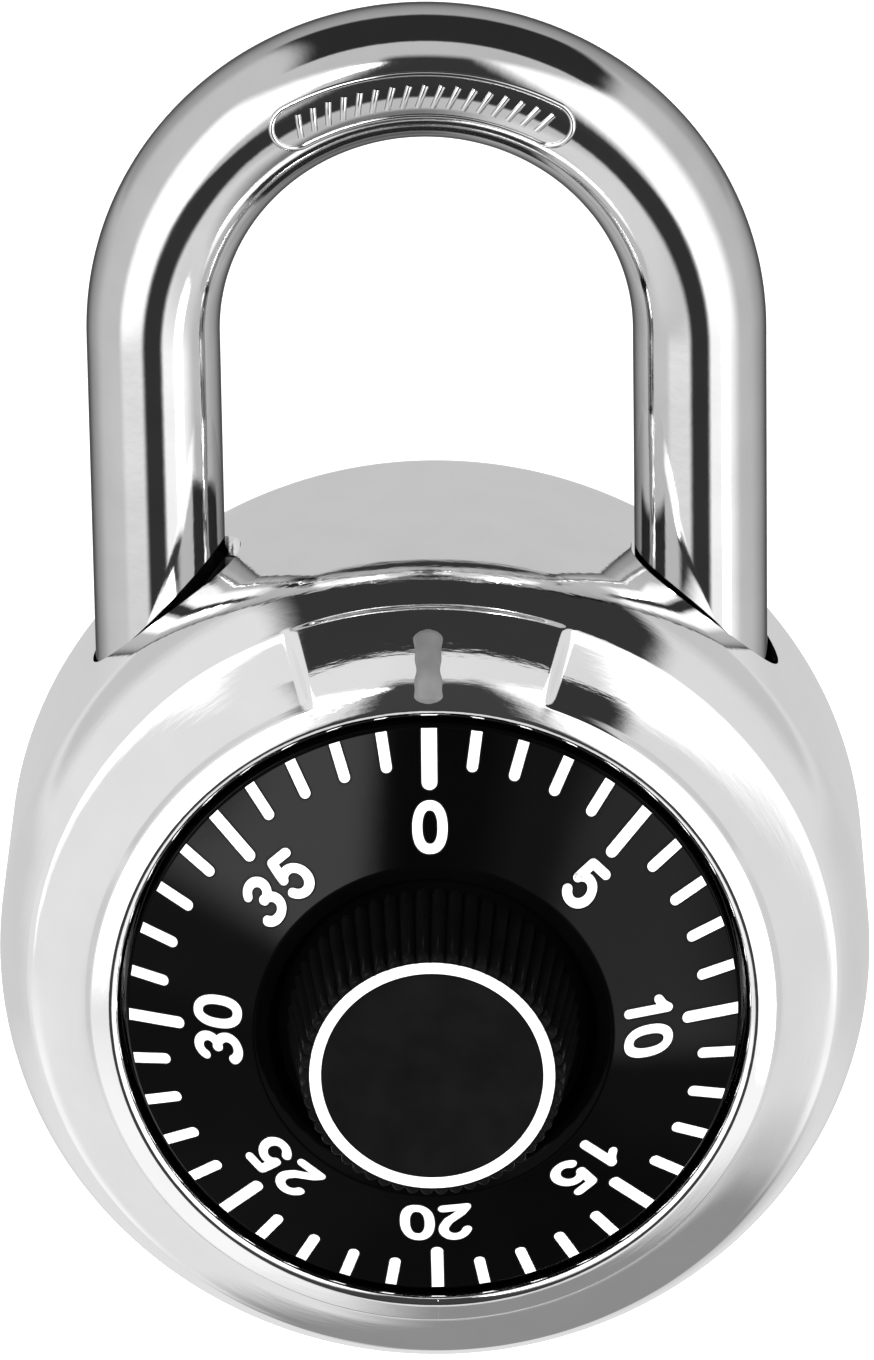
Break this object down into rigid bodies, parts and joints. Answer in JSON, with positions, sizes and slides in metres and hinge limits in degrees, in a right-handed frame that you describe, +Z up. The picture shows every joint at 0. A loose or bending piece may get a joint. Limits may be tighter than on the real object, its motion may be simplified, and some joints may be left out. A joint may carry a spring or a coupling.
{
  "type": "combination padlock",
  "caption": "Round dial combination padlock with a fluted knob, polished steel case, wheel pack, fence lever, sprung latch and a rounded shackle that lifts.",
  "frame": {"origin": "inside top of the shackle's bow, midway through the bar, where the closed lock hangs", "axes": "+Z up along the shackle's legs, +Y out of the back of the case, so the dial faces -Y and turns about Y; +X towards the long (heel) leg"},
  "size_m": [0.048, 0.0314, 0.0766],
  "materials": {
    "polished_case": "polished stainless steel sheet",
    "index_paint": "raised mark, dull paint",
    "inner_steel": "plain zinc-plated sheet steel",
    "lever_steel": "blanked hardened steel",
    "pin_steel": "turned and stamped steel",
    "spring_wire": "spring steel",
    "turned_brass": "turned brass",
    "wheel_brass": "stamped brass",
    "dial_black": "glossy moulded black",
    "dial_white": "white filled marks",
    "knob_black": "glossy moulded black, fluted",
    "shackle_steel": "polished chrome plate on hardened steel"
  },
  "bodies": {
    "case": {"front_case": "polished_case", "index_mark": "index_paint", "inner_case": "inner_steel", "rear_cover": "polished_case", "mechanism_plate": "inner_steel", "centre_post": "turned_brass", "rear_spacer": "turned_brass", "wheel_spacer": "turned_brass", "wheel_retaining_clip": "pin_steel", "lever_stud": "pin_steel", "spring_post": "pin_steel", "lever_spring": "spring_wire", "heel_guide": "inner_steel", "dial_bushing": "turned_brass", "spring_washer": "spring_wire", "dial_thrust_washer": "pin_steel"},
    "dial": {"dial": "dial_black", "dial_graduations": "dial_white", "knob": "knob_black", "knob_ring": "dial_white", "dial_spindle": "turned_brass", "drive_cam": "wheel_brass", "cam_fly_pin": "wheel_brass", "cam_retainer": "pin_steel"},
    "wheel_2": {"wheel_2": "wheel_brass", "wheel_2_fly_pin": "wheel_brass"},
    "wheel_1": {"wheel_1": "wheel_brass", "wheel_1_fly_pin": "wheel_brass"},
    "lever": {"lever": "lever_steel", "fence": "lever_steel", "latch_pin": "pin_steel", "latch_spring": "spring_wire"},
    "latch": {"latch": "lever_steel"},
    "shackle": {"shackle": "shackle_steel", "heel_retaining_ring": "pin_steel"}
  },
  "joints": [
    {"name": "dial_turn", "type": "hinge", "parent": "case", "child": "dial", "pos_m": [0, 0, -0.0453], "axis": [0, -1, 0], "continuous": true},
    {"name": "wheel_2_turn", "type": "hinge", "parent": "dial", "child": "wheel_2", "pos_m": [0, 0, -0.0453], "axis": [0, -1, 0], "range_deg": [-146, 180]},
    {"name": "wheel_1_turn", "type": "hinge", "parent": "wheel_2", "child": "wheel_1", "pos_m": [0, 0, -0.0453], "axis": [0, -1, 0], "range_deg": [-326, 0]},
    {"name": "shackle_lift", "type": "slide", "parent": "case", "child": "shackle", "axis": [0, 0, 1], "range_m": [0, 0.012]},
    {"name": "lever_swing", "type": "hinge", "parent": "case", "child": "lever", "pos_m": [-0.013, 0, -0.0583], "axis": [0, 1, 0], "range_deg": [0, 6.9], "deforming": ["lever_spring"]},
    {"name": "latch_snap", "type": "hinge", "parent": "lever", "child": "latch", "pos_m": [-0.0094, 0, -0.0338], "axis": [0, 1, 0], "range_deg": [0, 20], "stiffness_Nm_per_rad": 0.02, "springref_deg": -17.19, "deforming": ["latch_spring"]}
  ],
  "couplings": [
    {"joint": "lever_swing", "follows": "shackle_lift", "rad_per_m": 10}
  ]
}
